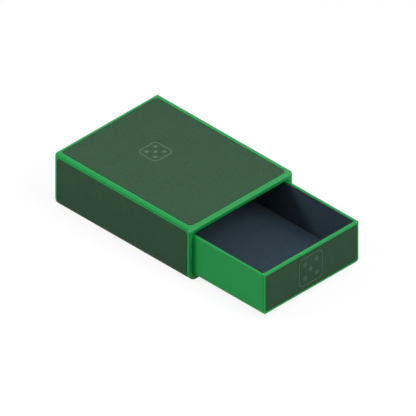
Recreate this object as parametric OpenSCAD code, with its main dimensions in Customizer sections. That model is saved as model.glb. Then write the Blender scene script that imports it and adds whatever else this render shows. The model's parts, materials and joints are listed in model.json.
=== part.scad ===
// Dice storage chest: a moulded sleeve, open at both ends, and a lined drawer that slides through it.
// The origin is the centre of the sleeve's underside. The drawer comes out towards -Y, +Z is up.
// An outline is a rounded rectangle that is centred on its first axis:
// [width, low edge, high edge, radius of the low corners, radius of the high corners].

/* [Sleeve] */
// Width of the sleeve
sleeve_w = 88.5; // [60:0.5:160]
// Length of the sleeve, mouth to mouth
sleeve_l = 115; // [80:0.5:220]
// Height of the sleeve
sleeve_h = 39.2; // [25:0.1:90]
// Thickness of the side walls
side_wall = 3.1; // [3:0.1:6]
// Thickness of the roof
roof_wall = 4.9; // [3.2:0.1:8]
// Thickness of the floor
floor_wall = 3.35; // [3.1:0.05:8]
// Radius of the long top edges
top_edge_r = 1.5; // [1:0.1:2.2]
// Radius of the long bottom edges
bottom_edge_r = 6.2; // [3:0.1:9]
// Rounding of the edges round both ends of the sleeve
mouth_edge_r = 0.5; // [0.3:0.1:1]
// How far the bevel over the front mouth reaches back on the roof
bevel_back = 1.6; // [0.8:0.1:1.6]
// How far the bevel over the front mouth reaches down
bevel_down = 2.5; // [1:0.1:3]
// Rounding of the bevel's two edges
bevel_edge_r = 0.2; // [0.1:0.05:0.25]
// Rounding of the inner edges round both mouths
lip_r = 0.5; // [0.2:0.1:0.6]
// Radius of the tunnel's top corners
tunnel_top_r = 1; // [0.6:0.1:2]

/* [Leatherette] */
// Thickness of the leatherette
leather_t = 0.8; // [0.5:0.1:1.2]
// Thickness of the foam behind the leatherette on the sleeve
foam_t = 0.4; // [0.2:0.1:0.8]
// Rounding of the leatherette's outer edges
leather_edge_r = 0.3; // [0.1:0.1:0.4]
// Green left showing between the top sheet and the long edges
top_side_border = 3.2; // [2.3:0.1:8]
// Green left showing between the top sheet and the mouths
top_end_border = 1.9; // [1.9:0.1:8]
// Corner radius of the top sheet
top_corner_r = 3; // [1:0.1:8]
// Green left showing above the wrapped sheet on the side faces
wrap_top_border = 2.85; // [2.3:0.05:10]
// Green left showing between the wrapped sheet and the mouths
wrap_end_border = 1.8; // [0.8:0.1:8]
// Corner radius of the wrapped sheet
wrap_corner_r = 2.3; // [1:0.1:6]

/* [Drawer] */
// How far the drawer is out, as drawn
drawer_out = 60.5; // [0:0.5:70]
// Set-back of the shut drawer's ends from the mouths
end_setback = 0; // [0:0.1:3]
// Thickness of the drawer's side walls
tray_wall = 1.8; // [1.2:0.1:4]
// Thickness of the drawer's end walls
tray_end_wall = 2.2; // [1.8:0.1:5]
// Thickness of the drawer's floor
tray_floor = 2; // [1.8:0.1:5]
// Radius of the drawer's long bottom edges
drawer_bottom_r = 2.5; // [1.5:0.1:5]
// Rounding of the drawer's bottom and upright edges at its ends
tray_edge_r = 0.9; // [0.6:0.1:1.3]
// Rounding of the drawer's rim
rim_r = 0.5; // [0.2:0.1:0.6]
// Radius inside the drawer, where its walls and floor meet
tray_inner_r = 1; // [0.7:0.1:1]
// Green left showing above the drawer's end sheets
panel_top_border = 1.5; // [1:0.1:5]
// Green left showing beside the drawer's end sheets
panel_side_border = 1.7; // [1.4:0.1:5]
// Green left showing below the drawer's end sheets
panel_bottom_border = 1.8; // [1.4:0.1:5]
// Radius of the end sheets' upper corners
panel_top_r = 0.8; // [0.5:0.1:3]
// Radius of the end sheets' lower corners
panel_bottom_r = 2.1; // [0.5:0.1:5]

/* [Felt] */
// Thickness of the felt in the drawer
liner_t = 1; // [0.5:0.1:1.5]
// Thickness of the felt on the sleeve's floor and roof
felt_t = 0.5; // [0.3:0.1:1]
// Corner radius of the sleeve's felt
felt_corner_r = 1; // [0.5:0.5:10]
// Distance from the rim down to the top of the wall felt
liner_drop = 0.5; // [0.2:0.1:4]
// Distance from the mouths to the ends of the sleeve's felt
felt_setback = 4; // [1:0.5:20]

/* [Magnets] */
// Diameter of the disc magnets
magnet_d = 8; // [4:0.5:12]
// Thickness of the disc magnets
magnet_t = 1; // [0.5:0.1:1.3]
// Distance from the tunnel's side walls to the magnets' centres
magnet_inset = 17; // [8:0.5:20]

/* [Clearances] */
// Gap between the drawer and each side wall
side_gap = 0.25; // [0.1:0.05:0.8]
// Gap between the drawer and the felt under it
slide_gap = 0.1; // [0.05:0.05:0.5]
// Gap between the drawer's rim and the roof
rim_gap = 0.9; // [0.8:0.1:4]
// Gap round the edge of a sheet in its recess
edge_gap = 0.1; // [0.05:0.05:0.15]
// Layer of glue behind a sheet, a felt or a magnet
glue = 0.05; // [0.02:0.01:0.1]

/* [Hidden] */
$fn = 64;

// How far a cut runs past the surface that it cuts
overrun = 1;
// Smallest radius that an inset outline may shrink to
least_r = 0.2;

// Depth of the sleeve's recesses: foam, leatherette and a layer of glue under each
recess_d = foam_t + leather_t + 2 * glue;
foam_depth = leather_t + glue;
end_recess_d = leather_t + glue;

tunnel_w = sleeve_w - 2 * side_wall;
tunnel_bottom_r = drawer_bottom_r + side_gap;
roof_z = sleeve_h - roof_wall;
wrap_l = sleeve_l - 2 * wrap_end_border;

drawer_w = tunnel_w - 2 * side_gap;
drawer_l = sleeve_l - 2 * end_setback;
tray_z = floor_wall + glue + felt_t + slide_gap;
rim_z = roof_z - rim_gap;
cavity_z = tray_z + tray_floor;
cavity_w = drawer_w - 2 * tray_wall;
cavity_l = drawer_l - 2 * tray_end_wall;
// How far the felt on one wall stays from the next, clear of its felt and of the rounding between them
felt_foot = max(tray_inner_r, liner_t) + glue;

sleeve_outline = [sleeve_w, 0, sleeve_h, bottom_edge_r, top_edge_r];
tunnel_outline = [tunnel_w, floor_wall, roof_z, tunnel_bottom_r, tunnel_top_r];
top_outline = [
    sleeve_w - 2 * top_side_border,
    top_end_border - sleeve_l / 2, sleeve_l / 2 - top_end_border,
    top_corner_r, top_corner_r
];
// Seen from the side; its low corners lie below the base, so the sheet runs straight round the edge
wrap_outline = [wrap_l, -2 * wrap_corner_r, sleeve_h - wrap_top_border, wrap_corner_r, wrap_corner_r];
// The flat stretch of it on one side, above the bend
wrap_side_outline = [wrap_l, bottom_edge_r, wrap_outline[2], 0, wrap_corner_r];
felt_outline = [
    tunnel_w - 2 * tunnel_bottom_r - 2 * side_gap,
    felt_setback - sleeve_l / 2, sleeve_l / 2 - felt_setback,
    felt_corner_r, felt_corner_r
];
// The drawer's end view, carried up past the rim, where the block is cut off flat
tray_outline = [drawer_w, tray_z, rim_z + 2 * drawer_bottom_r, drawer_bottom_r, drawer_bottom_r];
rim_outline = [drawer_w, -drawer_l / 2, drawer_l / 2, tray_edge_r, tray_edge_r];
cavity_outline = [cavity_w, -cavity_l / 2, cavity_l / 2, tray_inner_r, tray_inner_r];
panel_outline = [
    drawer_w - 2 * panel_side_border,
    tray_z + panel_bottom_border, rim_z - panel_top_border,
    panel_bottom_r, panel_top_r
];

leaf_green = [0.15, 0.54, 0.28];
dark_green = [0.22, 0.33, 0.25];
slate = [0.13, 0.17, 0.2];
foam_grey = [0.3, 0.3, 0.3];
nickel = [0.75, 0.75, 0.77];

function inset(o, d) = [
    o[0] - 2 * d, o[1] + d, o[2] - d,
    max(o[3] - d, least_r), max(o[4] - d, least_r)
];

// The filled shape of an outline
module plate(o) {
    middle = (o[1] + o[2]) / 2;
    translate([-o[0] / 2, o[1] + o[3]]) square([o[0], o[2] - o[1] - o[3] - o[4]]);
    translate([o[3] - o[0] / 2, o[1]]) square([o[0] - 2 * o[3], middle - o[1]]);
    translate([o[4] - o[0] / 2, middle]) square([o[0] - 2 * o[4], o[2] - middle]);
    for (side = [-1, 1]) {
        translate([side * (o[0] / 2 - o[3]), o[1] + o[3]]) circle(o[3]);
        translate([side * (o[0] / 2 - o[4]), o[2] - o[4]]) circle(o[4]);
    }
}

module along_x(length) {
    rotate([90, 0, 90]) linear_extrude(length, center = true) children();
}

module along_y(length) {
    rotate([90, 0, 0]) linear_extrude(length, center = true) children();
}

// Carries a section along an outline: its +X points out of the outline and its +Y up
module around(o) {
    around_foot(o) children();
    around_head(o) children();
}

// The low side of an outline, with its two corners
module around_foot(o) {
    translate([o[0] / 2 - o[3], o[1]]) run(o[0] - 2 * o[3], 0) children();
    translate([o[3] - o[0] / 2, o[1] + o[3]]) bend(o[3], 180) children();
    translate([o[0] / 2 - o[3], o[1] + o[3]]) bend(o[3], 270) children();
}

// The other three sides, with the two corners between them
module around_head(o) {
    side_run = o[2] - o[1] - o[3] - o[4];
    translate([-o[0] / 2, o[1] + o[3]]) run(side_run, -90) children();
    translate([o[4] - o[0] / 2, o[2]]) run(o[0] - 2 * o[4], 180) children();
    translate([o[0] / 2, o[2] - o[4]]) run(side_run, 90) children();
    translate([o[0] / 2 - o[4], o[2] - o[4]]) bend(o[4], 0) children();
    translate([o[4] - o[0] / 2, o[2] - o[4]]) bend(o[4], 90) children();
}

module run(length, turn) {
    rotate([0, 0, turn]) rotate([90, 0, -90]) linear_extrude(length) children();
}

module bend(r, turn) {
    rotate([0, 0, turn]) rotate_extrude(angle = 90) translate([r, 0]) children();
}

// Section of the cut that rounds the outer edge of a block
module outer_edge(r) {
    difference() {
        translate([-r, -r]) square(r + overrun);
        translate([-r, -r]) circle(r);
    }
}

// Section of the cut that rounds the edge of a hole
module inner_edge(r) {
    difference() {
        translate([-r, -r]) square([2 * r, r + overrun]);
        translate([r, -r]) circle(r);
    }
}

// Section of the cut that bevels the outer edge of a block, this far down its end and back on its top,
// and rounds both edges of the bevel
module bevelled_edge(down, back, r) {
    slope = atan(back / down);
    outwards = r * [sin(slope), cos(slope)];
    low = [-down - r * tan(slope / 2), -r];
    high = [-r, -back - r * tan(45 - slope / 2)];
    difference() {
        translate([low[0], high[1]]) square([overrun - low[0], overrun - high[1]]);
        translate(low) circle(r);
        translate(high) circle(r);
        polygon([[low[0], high[1]], low, low + outwards, high + outwards, high]);
    }
}

// Stands its child on the front end of a block of this length, facing out, or on the rear end
module at_end(length, rear) {
    mirror([0, rear ? 1 : 0, 0])
        translate([0, -length / 2, 0])
            rotate([90, 0, 0])
                children();
}

module at_both_ends(length) {
    at_end(length, false) children();
    at_end(length, true) children();
}

// Stands its child on the two sides of a block of this width, facing out
module at_both_sides(width) {
    for (turn = [0, 1])
        mirror([turn, 0, 0])
            translate([width / 2, 0, 0])
                rotate([90, 0, 90])
                    children();
}

// A layer that follows the sleeve's sides and base between two depths, inside the wrapped sheet's edge
module wrap_layer(outer_depth, inner_depth, edge) {
    intersection() {
        difference() {
            along_y(sleeve_l) plate(inset(sleeve_outline, outer_depth));
            along_y(sleeve_l + overrun) plate(inset(sleeve_outline, inner_depth));
        }
        along_x(sleeve_w + 2 * overrun) plate(inset(wrap_outline, edge));
    }
}

module magnet_disc(side, z, d, height) {
    translate([side * (tunnel_w / 2 - magnet_inset), 0, z]) cylinder(h = height, d = d);
}

// The two blind pockets that open at this height
module magnet_pockets(z) {
    for (side = [-1, 1])
        magnet_disc(side, z - magnet_t - glue, magnet_d + 2 * edge_gap, magnet_t + glue + overrun);
}

module sleeve_frame() {
    color(leaf_green) difference() {
        along_y(sleeve_l) plate(sleeve_outline);
        along_y(sleeve_l + overrun) plate(tunnel_outline);
        at_both_ends(sleeve_l) {
            around(sleeve_outline) outer_edge(mouth_edge_r);
            around(tunnel_outline) inner_edge(lip_r);
        }
        at_end(sleeve_l, false) translate([-sleeve_w, sleeve_h])
            run(2 * sleeve_w, 180) bevelled_edge(bevel_down, bevel_back, bevel_edge_r);
        translate([0, 0, sleeve_h - recess_d])
            linear_extrude(recess_d + overrun) plate(inset(top_outline, -edge_gap));
        wrap_layer(-overrun, recess_d, -edge_gap);
        magnet_pockets(floor_wall);
    }
}

module top_panel() {
    color(dark_green) translate([0, 0, sleeve_h]) difference() {
        translate([0, 0, -leather_t]) linear_extrude(leather_t) plate(top_outline);
        around(top_outline) outer_edge(leather_edge_r);
    }
}

module top_backing() {
    color(foam_grey) translate([0, 0, sleeve_h - foam_depth - foam_t])
        linear_extrude(foam_t) plate(inset(top_outline, edge_gap));
}

module wrap_panel() {
    color(dark_green) difference() {
        wrap_layer(0, leather_t, 0);
        at_both_ends(wrap_l) around_foot(sleeve_outline) outer_edge(leather_edge_r);
        at_both_sides(sleeve_w) around_head(wrap_side_outline) outer_edge(leather_edge_r);
    }
}

module wrap_backing() {
    color(foam_grey) wrap_layer(foam_depth, foam_depth + foam_t, edge_gap);
}

module roof_felt() {
    color(slate) translate([0, 0, roof_z - glue - felt_t]) linear_extrude(felt_t) plate(felt_outline);
}

module floor_felt() {
    color(slate) translate([0, 0, floor_wall + glue]) linear_extrude(felt_t) plate(felt_outline);
}

module sleeve_magnet(side) {
    color(nickel) magnet_disc(side, floor_wall - magnet_t - glue, magnet_d, magnet_t);
}

// Moves what it holds from the shut place to the drawn one
module drawn_out() {
    translate([0, -drawer_out, 0]) children();
}

// The hollow inside the tray, rounded where its floor and walls meet
module cavity() {
    top = rim_z + 2 * tray_inner_r;
    intersection() {
        translate([0, 0, cavity_z]) linear_extrude(top - cavity_z) plate(cavity_outline);
        along_y(drawer_l) plate([cavity_w, cavity_z, top, tray_inner_r, tray_inner_r]);
        along_x(drawer_w) plate([cavity_l, cavity_z, top, tray_inner_r, tray_inner_r]);
    }
}

module end_sheet() {
    difference() {
        translate([0, 0, -leather_t]) linear_extrude(leather_t) plate(panel_outline);
        around(panel_outline) outer_edge(leather_edge_r);
    }
}

module drawer_tray() {
    color(leaf_green) drawn_out() difference() {
        along_y(drawer_l) plate(tray_outline);
        translate([-drawer_w, -drawer_l, rim_z]) cube([2 * drawer_w, 2 * drawer_l, tray_outline[2]]);
        at_both_ends(drawer_l) around(tray_outline) outer_edge(tray_edge_r);
        translate([0, 0, rim_z]) around(rim_outline) outer_edge(rim_r);
        translate([0, 0, rim_z]) around(cavity_outline) inner_edge(rim_r);
        cavity();
        at_both_ends(drawer_l) translate([0, 0, -end_recess_d])
            linear_extrude(end_recess_d + overrun) plate(inset(panel_outline, -edge_gap));
        magnet_pockets(cavity_z);
    }
}

module front_panel() {
    color(dark_green) drawn_out() at_end(drawer_l, false) end_sheet();
}

module rear_panel() {
    color(dark_green) drawn_out() at_end(drawer_l, true) end_sheet();
}

module floor_liner() {
    color(slate) drawn_out() translate([0, 0, cavity_z + glue])
        linear_extrude(liner_t) plate(inset(cavity_outline, felt_foot + edge_gap));
}

// The ring of wall felt, of which each wall's piece is cut
module wall_felt() {
    foot_z = cavity_z + felt_foot;
    translate([0, 0, foot_z]) linear_extrude(rim_z - liner_drop - foot_z) difference() {
        plate(inset(cavity_outline, glue));
        plate(inset(cavity_outline, glue + liner_t));
    }
}

// The long pieces lie between the end pieces, which run the full width
module side_liner(side) {
    length = cavity_l - 2 * (glue + liner_t + edge_gap);
    color(slate) drawn_out() intersection() {
        wall_felt();
        translate([side * cavity_w / 2, 0, 0])
            translate([-cavity_w / 4, -length / 2, 0])
                cube([cavity_w / 2, length, rim_z]);
    }
}

module end_liner(side) {
    color(slate) drawn_out() intersection() {
        wall_felt();
        translate([-cavity_w, side * (cavity_l / 2 - glue - liner_t / 2) - liner_t / 2 - glue, 0])
            cube([2 * cavity_w, liner_t + 2 * glue, rim_z]);
    }
}

module drawer_magnet(side) {
    color(nickel) drawn_out() magnet_disc(side, cavity_z - magnet_t - glue, magnet_d, magnet_t);
}

sleeve_frame();
top_panel();
top_backing();
wrap_panel();
wrap_backing();
roof_felt();
floor_felt();
sleeve_magnet(-1);  // left_sleeve_magnet
sleeve_magnet(1);  // right_sleeve_magnet
drawer_tray();
front_panel();
rear_panel();
floor_liner();
side_liner(-1);  // left_liner
side_liner(1);  // right_liner
end_liner(-1);  // front_liner
end_liner(1);  // rear_liner
drawer_magnet(-1);  // left_drawer_magnet
drawer_magnet(1);  // right_drawer_magnet
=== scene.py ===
# The looks of a dice storage chest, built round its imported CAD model. Lengths are in metres.
import json
import math

import bmesh
import bpy
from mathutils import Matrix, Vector, noise


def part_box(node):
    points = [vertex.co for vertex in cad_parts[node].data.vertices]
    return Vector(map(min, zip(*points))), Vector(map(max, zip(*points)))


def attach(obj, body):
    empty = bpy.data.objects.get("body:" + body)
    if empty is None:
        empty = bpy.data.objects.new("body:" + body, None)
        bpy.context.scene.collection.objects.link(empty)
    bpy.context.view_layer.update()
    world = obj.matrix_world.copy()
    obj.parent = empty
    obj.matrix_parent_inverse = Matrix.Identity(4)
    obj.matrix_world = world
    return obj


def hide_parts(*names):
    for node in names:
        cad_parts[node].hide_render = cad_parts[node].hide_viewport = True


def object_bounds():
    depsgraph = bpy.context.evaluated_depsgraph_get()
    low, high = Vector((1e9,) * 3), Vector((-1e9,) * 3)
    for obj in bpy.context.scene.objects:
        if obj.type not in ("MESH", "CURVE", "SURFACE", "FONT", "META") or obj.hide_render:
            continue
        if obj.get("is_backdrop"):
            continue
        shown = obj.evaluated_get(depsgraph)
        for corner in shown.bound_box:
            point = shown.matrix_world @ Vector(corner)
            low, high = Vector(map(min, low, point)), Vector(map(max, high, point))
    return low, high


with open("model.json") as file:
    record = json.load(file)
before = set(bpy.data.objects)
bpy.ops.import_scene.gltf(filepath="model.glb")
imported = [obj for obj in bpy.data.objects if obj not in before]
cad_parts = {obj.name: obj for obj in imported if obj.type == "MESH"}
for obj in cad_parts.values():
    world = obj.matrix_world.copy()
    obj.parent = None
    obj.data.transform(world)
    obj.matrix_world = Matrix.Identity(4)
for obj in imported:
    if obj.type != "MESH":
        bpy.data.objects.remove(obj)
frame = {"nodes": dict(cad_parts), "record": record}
cad_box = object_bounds()

MM = 0.001

# Sizes of the sheets that the frame's boxes don't give. T is a thickness and R a radius
LEATHER_T = 0.8 * MM
LEATHER_EDGE_R = 0.35 * MM
FELT_T = 1.0 * MM
SLEEVE_FELT_T = 0.5 * MM
FELT_EDGE_R = 0.2 * MM
TOP_CORNER_R = 3.0 * MM
WRAP_CORNER_R = 2.3 * MM
WRAP_BEND_R = 6.2 * MM
PANEL_LOW_R = 2.1 * MM
PANEL_HIGH_R = 0.8 * MM
FELT_CORNER_R = 1.0 * MM
# No row of points turns a corner tighter than this
LEAST_R = 0.05 * MM
# How far inside a sheet's rounded edge its painted edge shade fades out: a darker colour along the edge
# that stands in for the shade in the gaps between parts
EDGE_SHADE_FADE = 0.3 * MM
# How high and how wide the lumps in the felt's face are
NAP_HEIGHT = 0.05 * MM
NAP_WIDTH = 2.5 * MM

# How far the felt in the drawer is let out, to meet its neighbours: the walls' down, the rest sideways
FELT_LET_DOWN = 0.3 * MM
FELT_LET_OUT = 0.08 * MM

# The pressed mark: a rounded square with five dots in it
TOP_MARK_SIDE = 15.5 * MM
TOP_MARK_FROM_FRONT = 73.0 * MM
END_MARK_SIDE = 20.0 * MM
MARK_LINE = 0.9 * MM
MARK_DEPTH = 0.22 * MM
MARK_SOFTNESS = 0.25 * MM
# Its corners' radius, its dots' radius and how far out they stand, as shares of its side
MARK_CORNER_SHARE = 0.2
MARK_DOT_SHARE = 0.085
MARK_SPREAD_SHARE = 0.25
MARK_DOTS = ((0, 0), (-1, -1), (-1, 1), (1, -1), (1, 1))

# Steps of the meshes, and the turn above which an edge is sharp
EDGE_RINGS = 5
CORNER_STEPS = 10
COARSE_STEP = 3.0 * MM
BEND_STEP = 0.8 * MM
MARK_STEP = 0.2 * MM
FELT_STEP = 0.9 * MM
SHARP_TURN = math.radians(50)

# The camera, as the photograph was taken: without perspective, from in front, left and above
VIEW_AZIMUTH = math.radians(-45)
VIEW_ELEVATION = math.radians(35)
VIEW_WIDTH = 252.1 * MM
VIEW_RIGHT = 20.82 * MM
VIEW_UP = 4.1 * MM
VIEW_DISTANCE = 0.8

# The lamps: azimuth, counted as the camera's is, and elevation in degrees, side and power
LAMP_DISTANCE = 0.9
LAMPS = {
    "side_lamp": (-128, 40, 0.3, 3.6),
    "front_lamp": (14, 45, 0.6, 4.9),
    "top_lamp": (0, 88, 0.6, 1.4),
}
# Two that only the surfaces' shine shows: over the mouth and along the top
GLOSS_LAMPS = {
    "mouth_gloss_lamp": (37, 17, 0.6, 6.0),
    "top_gloss_lamp": (135, 35, 0.6, 1.6),
}

# The floor lies just below the base. Where it is seen, most of its colour gives way to a white glow
FLOOR_SIDE = 4.0
FLOOR_DROP = 0.02 * MM
FLOOR_GLOW_SHARE = 0.8
FLOOR_GLOW = 1.09
# How strongly the surround lights the chest
SKY_STRENGTH = 0.15

# Colours are linear
WHITE = (1.0, 1.0, 1.0)
FLOOR_GREY = (0.78, 0.78, 0.78)
LEAF_GREEN = (0.005, 0.32, 0.063)
LEAF_GREEN_DEEP = (0.005, 0.3, 0.058)
# The three leatherette sheets are one material; their colours differ by painted light, the top lighter
# and the sides and the drawer's ends darker
TOP_LEATHER_PAINTED_LIT = (0.044, 0.101, 0.055)
WRAP_LEATHER_PAINTED_SHADE = (0.039, 0.095, 0.05)
END_LEATHER_PAINTED_SHADE = (0.035, 0.084, 0.045)
# The pressed mark's lighter colours are a painted sheen for its glossier face, and the top's is lighter
# than the end's by painted light
PRESSED_TOP_PAINTED_SHEEN = (0.108, 0.164, 0.118)
PRESSED_END_PAINTED_SHEEN = (0.058, 0.114, 0.07)
SLATE_FELT = (0.03, 0.054, 0.077)
FOAM_GREY = (0.07, 0.07, 0.07)
NICKEL = (0.6, 0.58, 0.54)

# The finishes. A noise is given by its lumps' size and its detail, and a bump by its depth and strength.
# A shade is what a colour is multiplied by, and a share is how much of the lighter colour shows.
# These two spans are where most of a noise's values lie, and a closer one, for more contrast.
NOISE_SPAN = (0.3, 0.7)
CLOSE_SPAN = (0.35, 0.65)

# Moulded plastic
PLASTIC_SHINE = 0.12
PLASTIC_ROUGHNESS = (0.34, 0.46)
PLASTIC_CLOUD = (18.0 * MM, 2.0)
PLASTIC_SKIN = (0.22 * MM, 3.0)
PLASTIC_SKIN_BUMP = (0.02 * MM, 0.35)

# Leatherette: pebbles with grooves round them, darker in the grooves by a painted shade, set askew by a
# warp, with pores, rubbed and faded
LEATHER_SHINE = 0.03
LEATHER_ROUGHNESS = (0.5, 0.64)
# Painted shade: how much darker the leatherette is along its rounded edges
LEATHER_EDGE_PAINTED_SHADE = 0.7
PEBBLE_SIZE = 0.75 * MM
# Painted shade: the colour's shade in the pebbles' grooves and on their tops
PEBBLE_GROOVE_PAINTED_SHADES = (0.72, 1.0)
PEBBLE_BUMP = (0.05 * MM, 0.5)
# From the bottom of a groove to the top of a pebble, as shares of the pebble's size
PEBBLE_GROOVE = (0.0, 0.28)
PEBBLE_WARP = (1.6 * MM, 2.0)
PEBBLE_WARP_REACH = 0.6 * MM
PORES = (0.25 * MM, 3.0)
PORES_BUMP = (0.02 * MM, 0.3)
RUBBED = (1.1 * MM, 2.0)
TOP_RUBBED_SHARE = 0.2
WRAP_RUBBED_SHARE = 0.2
END_RUBBED_SHARE = 0.1
FADED = (12.0 * MM, 2.0)
FADED_SHARE = 0.12
WORN_SHADE = 1.3
# How much smoother the pressed mark is
PRESSED_SMOOTHING = 0.12

# Felt: its tangled fibres, and the tufts under them
FELT_SHINE = 0.15
FELT_SHEEN = 0.08
FELT_SHEEN_ROUGHNESS = 0.5
FELT_ROUGHNESS = (0.85, 0.98)
# Painted shade: how much darker the felt is along its rounded edges
FELT_EDGE_PAINTED_SHADE = 0.35
FIBRES = (0.45 * MM, 5.0)
FIBRES_ROUGHNESS = 0.65
FIBRES_DISTORTION = 2.5
FIBRES_SHADES = (0.5, 1.55)
FIBRES_BUMP = (0.15 * MM, 0.9)
TUFTS = (2.2 * MM, 3.0)
TUFTS_SHARE = 0.3
TUFTS_SHADE = 1.25
TUFTS_BUMP = (0.12 * MM, 0.5)

# Foam
FOAM_SHINE = 0.2
FOAM_ROUGHNESS = 0.9
FOAM_CELL = 0.4 * MM
FOAM_SHADES = (0.7, 1.2)
FOAM_BUMP = (0.1 * MM, 0.6)

# Nickel plate
NICKEL_ROUGHNESS = (0.18, 0.32)
NICKEL_MARKS = (0.8 * MM, 4.0)
NICKEL_SHADES = (0.9, 1.05)
NICKEL_BUMP = (0.01 * MM, 0.3)

# Where a Mix node has its two values, and what it makes of them
MIX_SOCKETS = {"RGBA": (6, 7, 2), "VECTOR": (4, 5, 1)}


# Sheets

def spread(lo, hi, step):
    """Places from lo to hi, evenly spaced and about a step apart."""
    count = max(1, round((hi - lo) / step))
    return [lo + (hi - lo) * i / count for i in range(count + 1)]


def spread_round(half, step, centre, fine_half, fine_step):
    """Places from -half to half, closer together within fine_half of the centre."""
    before = spread(-half, centre - fine_half, step)
    within = spread(centre - fine_half, centre + fine_half, fine_step)
    after = spread(centre + fine_half, half, step)
    return before[:-1] + within + after[1:]


def outline(us, vs, radii, inset=0.0):
    """Points round a grid, each with the grid point that it serves.

    They lie as far outside it as the larger of the two radii, less the inset. The corners where v is low
    are rounded to the first radius, and those where it is high to the second.
    """
    low_r, high_r = radii
    reach = max(radii) - inset
    sides = (
        ([(u, vs[0]) for u in us], (0, -1), (1, -1), low_r),
        ([(us[-1], v) for v in vs], (1, 0), (1, 1), high_r),
        ([(u, vs[-1]) for u in reversed(us)], (0, 1), (-1, 1), high_r),
        ([(us[0], v) for v in reversed(vs)], (-1, 0), (-1, -1), low_r),
    )
    points = []
    for turn, (side, (out_u, out_v), (corner_u, corner_v), corner_r) in enumerate(sides):
        points += [(u + out_u * reach, v + out_v * reach, (u, v)) for u, v in side]
        u, v = side[-1]
        r = max(corner_r - inset, LEAST_R)
        for k in range(1, CORNER_STEPS):
            angle = math.radians(90 * (turn - 1 + k / CORNER_STEPS))
            at_u = u + corner_u * (reach - r) + r * math.cos(angle)
            at_v = v + corner_v * (reach - r) + r * math.sin(angle)
            points.append((at_u, at_v, (u, v)))
    return points


def band(outer, inner):
    """Faces between two closed rows of vertices that go side by side."""
    faces = []
    for k in range(len(outer)):
        n = (k + 1) % len(outer)
        corners = [outer[k], outer[n]]
        corners += [inner[n], inner[k]] if inner[n] != inner[k] else [inner[n]]
        faces.append(corners)
    return faces


def sheet(name, us, vs, radii, edge_r, depth, place, relief=None, curved=False):
    """A closed sheet, and the grid place of each of its points.

    It is made from a grid of places, with radii for its corners, low and high, and edge_r for its edges.
    place(u, v, w) says where a point goes that lies w above the sheet's face, and relief(u, v) how far
    the face is raised there. The back lies a depth below the face: a curved sheet's follows the face,
    and any other's is one flat face.
    """
    points, faces, places, at_rim = [], [], [], []

    def add(u, v, w, rim):
        points.append(place(u, v, w))
        places.append((u, v))
        at_rim.append(rim)
        return len(points) - 1

    def raised(u, v):
        return relief(u, v) if relief else 0.0

    def grid(height):
        rows = [[add(u, v, height(u, v), 0.0) for u in us] for v in vs]
        for a, b in zip(rows, rows[1:]):
            faces.extend([a[i], a[i + 1], b[i + 1], b[i]] for i in range(len(us) - 1))
        return {(u, v): rows[j][i] for j, v in enumerate(vs) for i, u in enumerate(us)}

    def border(corners, insets):
        inner = [corners[p] for _, _, p in outline(us, vs, radii)]
        for inset in insets:
            drop = edge_r - math.sqrt(max(edge_r**2 - max(edge_r - inset, 0.0) ** 2, 0.0))
            # The rounded edge and the back carry the painted edge shade
            rim = 1.0 if inset <= edge_r else 0.0
            outer = [add(u, v, raised(u, v) - drop, rim) for u, v, _ in outline(us, vs, radii, inset)]
            faces.extend(band(outer, inner))
            inner = outer
        return inner

    turns = [math.radians(90 * k / EDGE_RINGS) for k in range(EDGE_RINGS)]
    rounding = [edge_r * (1 - math.sin(turn)) for turn in turns]
    front = border(grid(raised), [edge_r + EDGE_SHADE_FADE] + rounding)
    back = [add(u, v, -depth, 1.0) for u, v, _ in outline(us, vs, radii)]
    faces.extend(band(back, front))
    if curved:
        under = grid(lambda u, v: -depth)
        faces.extend(band(back, [under[p] for _, _, p in outline(us, vs, radii)]))
    else:
        faces.append(back)
    piece = make_mesh(name, points, faces)
    note(piece, "rim", at_rim)
    return piece, places


def note(piece, name, values):
    """Keeps a value from 0 to 1 with each of a piece's points, for its material."""
    kept = piece.data.attributes.new(name, "FLOAT", "POINT")
    kept.data.foreach_set("value", values)


def make_mesh(name, points, faces):
    """A piece in the scene, with its faces turned outward and smooth but for the sharp edges."""
    mesh = bpy.data.meshes.new(name)
    mesh.from_pydata(points, [], faces)
    work = bmesh.new()
    work.from_mesh(mesh)
    bmesh.ops.recalc_face_normals(work, faces=work.faces)
    work.to_mesh(mesh)
    work.free()
    mesh.shade_smooth()
    mesh.set_sharp_from_angle(angle=SHARP_TURN)
    made = bpy.data.objects.new(name, mesh)
    bpy.context.scene.collection.objects.link(made)
    return made


def settle(piece, node, body, material, rests_on):
    """Puts a made piece in the place of its CAD node."""
    piece.data.materials.append(material)
    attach(piece, body)
    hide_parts(node)


# The leatherette

def smooth_step(x):
    """0 up to 0, 1 from 1 on, and a soft rise between."""
    x = min(max(x, 0.0), 1.0)
    return x * x * (3 - 2 * x)


def mark_depth(side, u, v):
    """How deep the mark is pressed at a point from its middle, from 0 to 1."""
    corner_r = side * MARK_CORNER_SHARE
    past_u = abs(u) - side / 2 + corner_r
    past_v = abs(v) - side / 2 + corner_r
    past_edge = math.hypot(max(past_u, 0.0), max(past_v, 0.0)) + min(max(past_u, past_v), 0.0) - corner_r
    away = abs(past_edge) - MARK_LINE / 2
    dot_r = side * MARK_DOT_SHARE
    dot_off = side * MARK_SPREAD_SHARE
    for right, up in MARK_DOTS:
        away = min(away, math.hypot(u - right * dot_off, v - up * dot_off) - dot_r)
    return 1 - smooth_step(0.5 + away / MARK_SOFTNESS)


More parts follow.
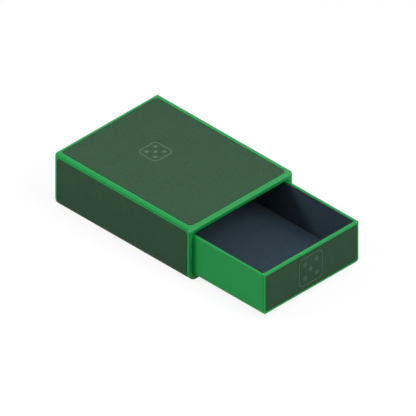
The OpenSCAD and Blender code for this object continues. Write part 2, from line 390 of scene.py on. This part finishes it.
def marked_sheet(name, half_w, half_l, radii, side, centre_v, place):
    """A flat leatherette sheet with the mark pressed into it."""
    fine_half = side / 2 + MARK_LINE
    us = spread_round(half_w - max(radii), COARSE_STEP, 0.0, fine_half, MARK_STEP)
    vs = spread_round(half_l - max(radii), COARSE_STEP, centre_v, fine_half, MARK_STEP)

    def relief(u, v):
        return -MARK_DEPTH * mark_depth(side, u, v - centre_v)

    piece, places = sheet(name, us, vs, radii, LEATHER_EDGE_R, LEATHER_T, place, relief)
    note(piece, "pressed", [mark_depth(side, u, v - centre_v) for u, v in places])
    return piece


def top_leather(material):
    """The sheet let into the sleeve's top."""
    lo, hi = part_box("top_panel")
    half_w, half_l = (hi.x - lo.x) / 2, (hi.y - lo.y) / 2
    front_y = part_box("sleeve_frame")[0].y
    centre_v = front_y + TOP_MARK_FROM_FRONT - (lo.y + hi.y) / 2

    def place(u, v, w):
        return u, v + (lo.y + hi.y) / 2, hi.z + w

    radii = (TOP_CORNER_R, TOP_CORNER_R)
    piece = marked_sheet("top_leather", half_w, half_l, radii, TOP_MARK_SIDE, centre_v, place)
    settle(piece, "top_panel", "sleeve", material, "top_backing")


def end_leather(node, outward, material, marked):
    """The sheet on one end of the drawer, which faces outward along Y."""
    lo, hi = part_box(node)
    half_w, half_h = (hi.x - lo.x) / 2, (hi.z - lo.z) / 2
    face_y = lo.y if outward < 0 else hi.y
    middle_z = (lo.z + hi.z) / 2

    def place(u, v, w):
        return u, face_y + outward * w, middle_z + v

    name = node.replace("panel", "leather")
    radii = (PANEL_LOW_R, PANEL_HIGH_R)
    if marked:
        piece = marked_sheet(name, half_w, half_h, radii, END_MARK_SIDE, 0.0, place)
    else:
        us = spread(max(radii) - half_w, half_w - max(radii), COARSE_STEP)
        vs = spread(max(radii) - half_h, half_h - max(radii), COARSE_STEP)
        piece, _ = sheet(name, us, vs, radii, LEATHER_EDGE_R, LEATHER_T, place)
    settle(piece, node, "drawer", material, "drawer_tray")


def wrapped_leather(material):
    """The one sheet that goes down the left side, under the base and up the right side."""
    lo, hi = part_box("wrap_panel")
    half_l = (hi.y - lo.y) / 2
    flat_half = hi.x - WRAP_BEND_R
    bend_length = WRAP_BEND_R * math.pi / 2
    rise = hi.z - WRAP_BEND_R
    half_u = flat_half + bend_length + rise

    def place(u, v, w):
        side = 1 if u > 0 else -1
        past = abs(u) - flat_half
        if past <= 0:
            return u, v, lo.z - w
        if past < bend_length:
            turn = past / WRAP_BEND_R
            reach = WRAP_BEND_R + w
            x = flat_half + reach * math.sin(turn)
            return side * x, v, lo.z + WRAP_BEND_R - reach * math.cos(turn)
        return side * (hi.x + w), v, lo.z + WRAP_BEND_R + past - bend_length

    base = spread(-flat_half, flat_half, COARSE_STEP)
    bend = spread(flat_half, flat_half + bend_length, BEND_STEP)[1:]
    side = spread(flat_half + bend_length, half_u - WRAP_CORNER_R, COARSE_STEP)[1:]
    right = bend + side
    us = [-u for u in reversed(right)] + base + right
    vs = spread(WRAP_CORNER_R - half_l, half_l - WRAP_CORNER_R, COARSE_STEP)
    radii = (WRAP_CORNER_R, WRAP_CORNER_R)
    piece, _ = sheet("wrapped_leather", us, vs, radii, LEATHER_EDGE_R, LEATHER_T, place, curved=True)
    settle(piece, "wrap_panel", "sleeve", material, "wrap_backing")


# The felt

def nap(u, v):
    """The unevenness of the felt's face."""
    return NAP_HEIGHT * noise.noise(Vector((u / NAP_WIDTH, v / NAP_WIDTH, 0.0)))


def felt(node, body, face, let_out, thickness, material, rests_on):
    """A felt sheet with its back where the back of its node's box is. face is the way it looks.

    let_out says how far the sheet reaches past that box: below it, and past both ends along X and Y.
    """
    lo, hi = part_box(node)
    down, out_x, out_y = let_out
    lo = lo - Vector((out_x, out_y, down))
    hi = hi + Vector((out_x, out_y, 0.0))
    axis = max(range(3), key=lambda i: abs(face[i]))
    across, along = (i for i in range(3) if i != axis)
    outward = face[axis]
    back = lo[axis] if outward > 0 else hi[axis]
    middle = (lo + hi) / 2
    half_u, half_v = (hi[across] - lo[across]) / 2, (hi[along] - lo[along]) / 2

    def place(u, v, w):
        point = Vector((0.0, 0.0, 0.0))
        point[across] = middle[across] + u
        point[along] = middle[along] + v
        point[axis] = back + outward * (thickness + w)
        return tuple(point)

    us = spread(FELT_CORNER_R - half_u, half_u - FELT_CORNER_R, FELT_STEP)
    vs = spread(FELT_CORNER_R - half_v, half_v - FELT_CORNER_R, FELT_STEP)
    edge_r = min(FELT_EDGE_R, thickness / 2)
    name = node.replace("liner", "lining").replace("_felt", "_felt_sheet")
    radii = (FELT_CORNER_R, FELT_CORNER_R)
    piece, _ = sheet(name, us, vs, radii, edge_r, thickness, place, nap)
    settle(piece, node, body, material, rests_on)


def all_felts(material):
    """The drawer's linings, and the felts on the sleeve's floor and roof."""
    tray = ("drawer", FELT_T, "drawer_tray")
    sleeve = ("sleeve", SLEEVE_FELT_T, "sleeve_frame")
    as_boxed = (0.0, 0.0, 0.0)
    sheets = (
        ("floor_liner", (0, 0, 1), (0.0, FELT_LET_OUT, FELT_LET_OUT), tray),
        ("left_liner", (1, 0, 0), (FELT_LET_DOWN, 0.0, FELT_LET_OUT), tray),
        ("right_liner", (-1, 0, 0), (FELT_LET_DOWN, 0.0, FELT_LET_OUT), tray),
        ("front_liner", (0, 1, 0), (FELT_LET_DOWN, 0.0, 0.0), tray),
        ("rear_liner", (0, -1, 0), (FELT_LET_DOWN, 0.0, 0.0), tray),
        ("floor_felt", (0, 0, 1), as_boxed, sleeve),
        ("roof_felt", (0, 0, -1), as_boxed, sleeve),
    )
    for node, face, let_out, (body, thickness, carrier) in sheets:
        felt(node, body, face, let_out, thickness, material, carrier)


# Shader nodes

def new_material(name, constants):
    """A material, its node tree and its shader, with the shader's own sockets set."""
    material = bpy.data.materials.new(name)
    material.use_nodes = True
    tree = material.node_tree
    shader = tree.nodes["Principled BSDF"]
    for socket, value in constants.items():
        shader.inputs[socket].default_value = value
    return material, tree, shader


def join(tree, value, socket):
    """Feeds a socket with another node's output, or sets it to a plain value."""
    if isinstance(value, bpy.types.NodeSocket):
        tree.links.new(value, socket)
    else:
        socket.default_value = value


def add_node(tree, kind, inputs=(), **settings):
    """Adds a node with its settings, and feeds or sets its inputs."""
    made = tree.nodes.new(kind)
    for name, value in settings.items():
        setattr(made, name, value)
    for name, value in dict(inputs).items():
        join(tree, value, made.inputs[name])
    return made


def body_place(tree):
    """Places on the piece itself, which move with it."""
    return add_node(tree, "ShaderNodeTexCoord").outputs["Object"]


def noted(tree, name):
    """A value that a made sheet keeps with its points. It is 0 on the pieces that have none."""
    return add_node(tree, "ShaderNodeAttribute", attribute_name=name).outputs["Fac"]


def cloud(tree, place, lumps, output="Fac", **more):
    """Noise with lumps of a size and a detail."""
    size, detail = lumps
    inputs = {"Vector": place, "Scale": 1 / size, "Detail": detail, **more}
    return add_node(tree, "ShaderNodeTexNoise", inputs).outputs[output]


def cells(tree, place, size, feature="F1"):
    """Cells of a size, as the distance from their middles or, for DISTANCE_TO_EDGE, their edges."""
    inputs = {"Vector": place, "Scale": 1 / size}
    return add_node(tree, "ShaderNodeTexVoronoi", inputs, feature=feature).outputs["Distance"]


def between(tree, value, given, wanted):
    """Brings a value from one span into another, and keeps it inside."""
    inputs = {"Value": value}
    inputs["From Min"], inputs["From Max"] = given
    inputs["To Min"], inputs["To Max"] = wanted
    return add_node(tree, "ShaderNodeMapRange", inputs).outputs["Result"]


def maths(tree, operation, a, b):
    """What a Math node makes of two values."""
    made = add_node(tree, "ShaderNodeMath", operation=operation)
    join(tree, a, made.inputs[0])
    join(tree, b, made.inputs[1])
    return made.outputs[0]


def mix(tree, factor, a, b, kind="RGBA"):
    """a where factor is 0, turning into b where it is 1. They are colours or, for VECTOR, places."""
    at_a, at_b, at_result = MIX_SOCKETS[kind]
    made = add_node(tree, "ShaderNodeMix", data_type=kind)
    join(tree, factor, made.inputs[0])
    join(tree, a, made.inputs[at_a])
    join(tree, b, made.inputs[at_b])
    return made.outputs[at_result]


def bump(tree, height, size, under=None):
    """Bumps of a depth and a strength, on top of those under them."""
    depth, strength = size
    inputs = {"Height": height, "Distance": depth, "Strength": strength}
    if under is not None:
        inputs["Normal"] = under
    return add_node(tree, "ShaderNodeBump", inputs).outputs["Normal"]


def shaded(colour, shade=1.0):
    """An opaque colour, multiplied by a shade."""
    return (*(c * shade for c in colour), 1.0)


def shades(colour, ends):
    """A colour in each of two shades."""
    return [shaded(colour, end) for end in ends]


# Finishes

def satin_plastic():
    """Moulded plastic: a fine eroded skin, a faint cloudiness and a satin gloss that varies a little."""
    material, tree, shader = new_material("satin_plastic", {"Specular IOR Level": PLASTIC_SHINE})
    place = body_place(tree)
    flow = cloud(tree, place, PLASTIC_CLOUD)
    skin = cloud(tree, place, PLASTIC_SKIN)
    colour = mix(tree, flow, shaded(LEAF_GREEN_DEEP), shaded(LEAF_GREEN))
    join(tree, colour, shader.inputs["Base Color"])
    join(tree, between(tree, skin, NOISE_SPAN, PLASTIC_ROUGHNESS), shader.inputs["Roughness"])
    join(tree, bump(tree, skin, PLASTIC_SKIN_BUMP), shader.inputs["Normal"])
    return material


def leatherette(name, colour, rubbed_share, pressed_sheen_colour=None):
    """Coated fabric with a fine pebble grain, smoother where a mark is pressed into it, and lighter
    there by a painted sheen.
    """
    material, tree, shader = new_material(name, {"Specular IOR Level": LEATHER_SHINE})
    place = body_place(tree)
    warp = cloud(tree, place, PEBBLE_WARP, output="Color")
    askew = mix(tree, PEBBLE_WARP_REACH, place, warp, kind="VECTOR")
    to_groove = cells(tree, askew, PEBBLE_SIZE, feature="DISTANCE_TO_EDGE")
    pebble = between(tree, to_groove, PEBBLE_GROOVE, (0.0, 1.0))
    pores = cloud(tree, place, PORES)
    rubbed = between(tree, cloud(tree, place, RUBBED), CLOSE_SPAN, (0.0, rubbed_share))
    faded = between(tree, cloud(tree, place, FADED), NOISE_SPAN, (0.0, FADED_SHARE))
    # Painted shade darkens the grooves between the pebbles
    ground = mix(tree, pebble, *shades(colour, PEBBLE_GROOVE_PAINTED_SHADES))
    ground = mix(tree, rubbed, ground, shaded(colour, WORN_SHADE))
    ground = mix(tree, faded, ground, shaded(colour, WORN_SHADE))
    rough = between(tree, pores, NOISE_SPAN, LEATHER_ROUGHNESS)
    if pressed_sheen_colour:
        pressed = noted(tree, "pressed")
        # Painted sheen: the pressed mark is made lighter
        ground = mix(tree, pressed, ground, shaded(pressed_sheen_colour))
        rough = maths(tree, "SUBTRACT", rough, maths(tree, "MULTIPLY", pressed, PRESSED_SMOOTHING))
    # Painted shade along the sheet's rounded edges
    ground = mix(tree, noted(tree, "rim"), ground, shaded(colour, LEATHER_EDGE_PAINTED_SHADE))
    join(tree, ground, shader.inputs["Base Color"])
    join(tree, rough, shader.inputs["Roughness"])
    grain = bump(tree, pebble, PEBBLE_BUMP)
    join(tree, bump(tree, pores, PORES_BUMP, grain), shader.inputs["Normal"])
    return material


def slate_felt():
    """Pressed felt: tangled fibres over soft tufts, under a faint sheen."""
    constants = {
        "Specular IOR Level": FELT_SHINE,
        "Sheen Weight": FELT_SHEEN,
        "Sheen Roughness": FELT_SHEEN_ROUGHNESS,
    }
    material, tree, shader = new_material("slate_felt", constants)
    place = body_place(tree)
    fibres = cloud(tree, place, FIBRES, Roughness=FIBRES_ROUGHNESS, Distortion=FIBRES_DISTORTION)
    tufts = cloud(tree, place, TUFTS)
    strands = between(tree, fibres, CLOSE_SPAN, (0.0, 1.0))
    lifted = between(tree, tufts, CLOSE_SPAN, (0.0, TUFTS_SHARE))
    ground = mix(tree, strands, *shades(SLATE_FELT, FIBRES_SHADES))
    ground = mix(tree, lifted, ground, shaded(SLATE_FELT, TUFTS_SHADE))
    # Painted shade along the sheet's rounded edges
    ground = mix(tree, noted(tree, "rim"), ground, shaded(SLATE_FELT, FELT_EDGE_PAINTED_SHADE))
    join(tree, ground, shader.inputs["Base Color"])
    join(tree, between(tree, fibres, NOISE_SPAN, FELT_ROUGHNESS), shader.inputs["Roughness"])
    matted = bump(tree, tufts, TUFTS_BUMP)
    join(tree, bump(tree, fibres, FIBRES_BUMP, matted), shader.inputs["Normal"])
    return material


def foam():
    """Closed-cell foam, hidden behind the leatherette."""
    constants = {"Specular IOR Level": FOAM_SHINE, "Roughness": FOAM_ROUGHNESS}
    material, tree, shader = new_material("foam_backing", constants)
    bubbles = cells(tree, body_place(tree), FOAM_CELL)
    join(tree, mix(tree, bubbles, *shades(FOAM_GREY, FOAM_SHADES)), shader.inputs["Base Color"])
    join(tree, bump(tree, bubbles, FOAM_BUMP), shader.inputs["Normal"])
    return material


def nickel_plate():
    """Bright plating with faint tumbling marks, on the hidden magnets."""
    material, tree, shader = new_material("nickel_plate", {"Metallic": 1.0})
    marks = cloud(tree, body_place(tree), NICKEL_MARKS)
    join(tree, mix(tree, marks, *shades(NICKEL, NICKEL_SHADES)), shader.inputs["Base Color"])
    join(tree, between(tree, marks, NOISE_SPAN, NICKEL_ROUGHNESS), shader.inputs["Roughness"])
    join(tree, bump(tree, marks, NICKEL_BUMP), shader.inputs["Normal"])
    return material


def finish_nodes(finishes):
    """Gives every CAD node its slot's finish, also those that a made piece replaces."""
    slots = {part["node"]: part["material_slot"] for part in frame["record"]["subparts"]}
    for name, piece in frame["nodes"].items():
        for k in range(len(piece.data.materials)):
            piece.data.materials[k] = finishes[slots[name]]


# The stage

def seen_share(tree, share):
    """share for a ray from the camera, or one that a gloss or a glass sends on, and 0 for any other."""
    path = add_node(tree, "ShaderNodeLightPath").outputs
    seen = maths(tree, "MAXIMUM", path["Is Camera Ray"], path["Is Glossy Ray"])
    seen = maths(tree, "MAXIMUM", seen, path["Is Transmission Ray"])
    return maths(tree, "MULTIPLY", seen, share)


def show(tree, output, plain, bright, share):
    """Lets a bright shader take this share of a plain one's place where it is seen."""
    blend = add_node(tree, "ShaderNodeMixShader")
    join(tree, seen_share(tree, share), blend.inputs[0])
    join(tree, plain.outputs[0], blend.inputs[1])
    join(tree, bright.outputs[0], blend.inputs[2])
    join(tree, blend.outputs[0], tree.nodes[output].inputs["Surface"])


def floor():
    """A plain pale floor, lifted to white where the camera sees it, that keeps the chest's shadow."""
    half = FLOOR_SIDE / 2
    corners = [(-half, -half), (half, -half), (half, half), (-half, half)]
    plane = make_mesh("floor", [(x, y, -FLOOR_DROP) for x, y in corners], [[0, 1, 2, 3]])
    constants = {"Base Color": shaded(FLOOR_GREY), "Roughness": 1.0, "Specular IOR Level": 0.0}
    material, tree, shader = new_material("pale_floor", constants)
    glow = add_node(tree, "ShaderNodeEmission", {"Color": shaded(WHITE), "Strength": FLOOR_GLOW})
    show(tree, "Material Output", shader, glow, FLOOR_GLOW_SHARE)
    plane.data.materials.append(material)
    plane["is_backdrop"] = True


def sky():
    """An even studio surround, white where the camera sees it."""
    world = bpy.data.worlds.new("studio")
    bpy.context.scene.world = world
    world.use_nodes = True
    tree = world.node_tree
    light = tree.nodes["Background"]
    light.inputs["Color"].default_value = shaded(WHITE)
    light.inputs["Strength"].default_value = SKY_STRENGTH
    backdrop = add_node(tree, "ShaderNodeBackground", {"Color": shaded(WHITE), "Strength": 1.0})
    show(tree, "World Output", light, backdrop, 1.0)


def direction(azimuth, elevation):
    """The way from the chest to a place at this azimuth, counted from its front, and elevation."""
    level = math.cos(elevation)
    return Vector((math.sin(azimuth) * level, -math.cos(azimuth) * level, math.sin(elevation)))


def soft_box(name, lamp_values, gloss_only=False):
    """A square area lamp that looks at the chest."""
    azimuth, elevation, side, power = lamp_values
    lamp = bpy.data.lights.new(name, "AREA")
    lamp.shape = "SQUARE"
    lamp.size = side
    lamp.energy = power
    made = bpy.data.objects.new(name, lamp)
    away = direction(math.radians(azimuth), math.radians(elevation))
    made.location = away * LAMP_DISTANCE
    made.rotation_euler = (-away).to_track_quat("-Z", "Y").to_euler()
    made.visible_diffuse = not gloss_only
    bpy.context.scene.collection.objects.link(made)


def camera():
    """The photograph's view, without perspective."""
    data = bpy.data.cameras.new("camera")
    data.type = "ORTHO"
    data.ortho_scale = VIEW_WIDTH
    made = bpy.data.objects.new("camera", data)
    back = direction(VIEW_AZIMUTH, VIEW_ELEVATION)
    turn = (-back).to_track_quat("-Z", "Y")
    centre = turn @ Vector((VIEW_RIGHT, VIEW_UP, 0.0))
    made.location = centre + back * VIEW_DISTANCE
    made.rotation_mode = "QUATERNION"
    made.rotation_quaternion = turn
    bpy.context.scene.collection.objects.link(made)
    bpy.context.scene.camera = made


def build():
    """The stage, the finishes and the sheets."""
    bpy.context.scene.view_settings.view_transform = "Standard"
    camera()
    sky()
    floor()
    for name, lamp_values in LAMPS.items():
        soft_box(name, lamp_values)
    for name, lamp_values in GLOSS_LAMPS.items():
        soft_box(name, lamp_values, gloss_only=True)
    # Three copies of one leatherette, lit and shaded by painted light in their colours
    wrap = leatherette("wrap_leatherette", WRAP_LEATHER_PAINTED_SHADE, WRAP_RUBBED_SHARE)
    top = leatherette("top_leatherette", TOP_LEATHER_PAINTED_LIT, TOP_RUBBED_SHARE, PRESSED_TOP_PAINTED_SHEEN)
    end = leatherette("end_leatherette", END_LEATHER_PAINTED_SHADE, END_RUBBED_SHARE, PRESSED_END_PAINTED_SHEEN)
    lining = slate_felt()
    finishes = {
        "green_plastic": satin_plastic(),
        "leatherette": wrap,
        "felt": lining,
        "foam": foam(),
        "nickel": nickel_plate(),
    }
    finish_nodes(finishes)
    top_leather(top)
    wrapped_leather(wrap)
    end_leather("front_panel", -1, end, marked=True)
    end_leather("rear_panel", 1, end, marked=False)
    all_felts(lining)


build()
[[list(corner) for corner in box] for box in (cad_box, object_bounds())]
